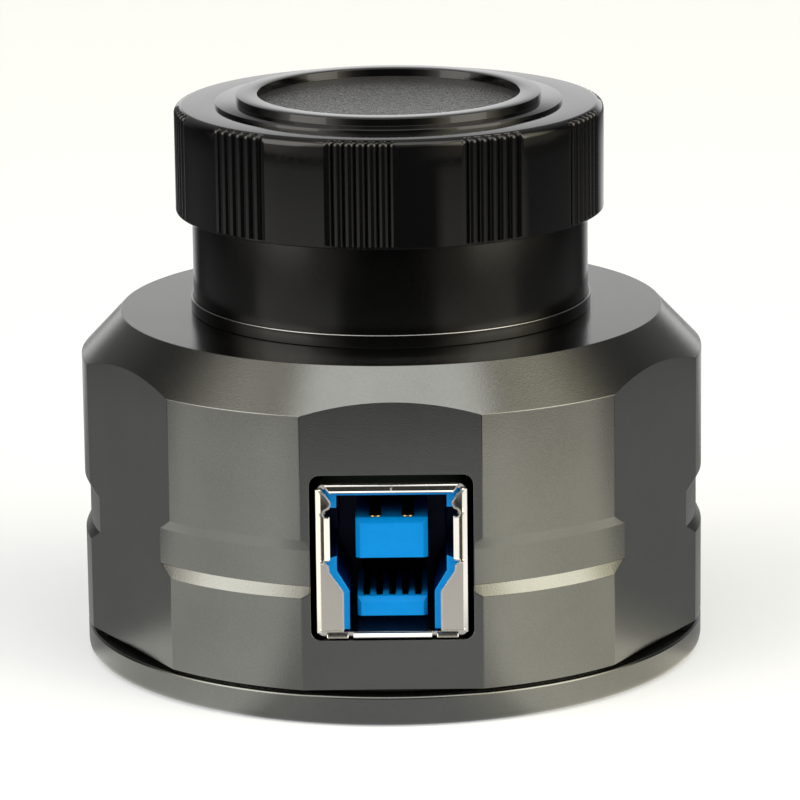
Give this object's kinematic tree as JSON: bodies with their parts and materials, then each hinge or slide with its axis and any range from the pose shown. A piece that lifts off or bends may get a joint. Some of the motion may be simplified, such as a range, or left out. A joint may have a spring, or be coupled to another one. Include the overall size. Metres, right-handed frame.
{
  "type": "astronomy camera",
  "caption": "Compact round astronomy camera with flats on its body, a 1.25-inch nosepiece on the front under a ribbed dust cap, and a USB 3.0 type-B socket on its side.",
  "frame": {"origin": "centre of the back cover's underside, on the optical axis", "axes": "+Z along the optical axis, from the back cover towards the nosepiece; -Y towards the USB socket; +X to the right when looking at the socket"},
  "size_m": [0.05, 0.05, 0.0452],
  "materials": {
    "housing_anodised": "bead-blasted and anodised, satin gun-metal grey with fine grain",
    "black_anodised": "black anodised, satin",
    "cap_plastic": "moulded black plastic, glossy sides, fine matte disc on top",
    "seal_rubber": "black silicone rubber",
    "screw_steel": "stainless steel",
    "optical_glass": "clear coated glass",
    "sensor_ceramic": "dark ceramic package",
    "sensor_silicon": "silicon with a faint violet sheen",
    "circuit_board": "glass-fibre board with dark solder mask",
    "connector_plastic": "ivory moulded plastic",
    "chip_plastic": "black moulded chip package",
    "ferrite": "dark grey ferrite",
    "capacitor_ceramic": "tan ceramic with tinned ends",
    "thermal_silicone": "soft pink-grey silicone pad",
    "bare_aluminium": "milled bare aluminium",
    "nickel_shell": "bright nickel-plated sheet metal",
    "blue_plastic": "bright blue moulded plastic",
    "gold_contact": "gold-plated spring contact"
  },
  "bodies": {
    "camera": {"housing": "housing_anodised", "back_cover": "housing_anodised", "cover_seal": "seal_rubber", "cover_screws": "screw_steel", "window_glass": "optical_glass", "window_seal": "seal_rubber", "window_retainer": "black_anodised", "sensor_package": "sensor_ceramic", "sensor_die": "sensor_silicon", "sensor_cover_glass": "optical_glass", "sensor_board": "circuit_board", "board_plug": "connector_plastic", "board_socket": "connector_plastic", "board_spacers": "screw_steel", "board_screws": "screw_steel", "main_board": "circuit_board", "usb_controller": "chip_plastic", "memory_chip": "chip_plastic", "voltage_regulator": "chip_plastic", "power_inductor": "ferrite", "crystal": "nickel_shell", "capacitors": "capacitor_ceramic", "thermal_pad": "thermal_silicone", "heat_block": "bare_aluminium", "heat_block_screws": "screw_steel", "usb_shell": "nickel_shell", "usb_insulator": "blue_plastic", "usb2_contacts": "gold_contact", "superspeed_contacts": "gold_contact", "usb_rear_cover": "nickel_shell"},
    "gasket": {"nosepiece_gasket": "seal_rubber"},
    "nosepiece": {"nosepiece": "black_anodised"},
    "dust_cap": {"dust_cap": "cap_plastic"}
  },
  "joints": [
    {"name": "nosepiece_rise", "type": "slide", "parent": "camera", "child": "gasket", "axis": [0, 0, 1], "range_m": [0, 0.0021]},
    {"name": "nosepiece_unscrew", "type": "hinge", "parent": "gasket", "child": "nosepiece", "pos_m": [0, 0, 0.0279], "axis": [0, 0, 1], "range_deg": [0, 1260]},
    {"name": "dust_cap_pull", "type": "slide", "parent": "nosepiece", "child": "dust_cap", "axis": [0, 0, 1], "range_m": [0, 0.03]}
  ],
  "couplings": [
    {"joint": "nosepiece_rise", "follows": "nosepiece_unscrew", "m_per_rad": 0.00009549}
  ]
}
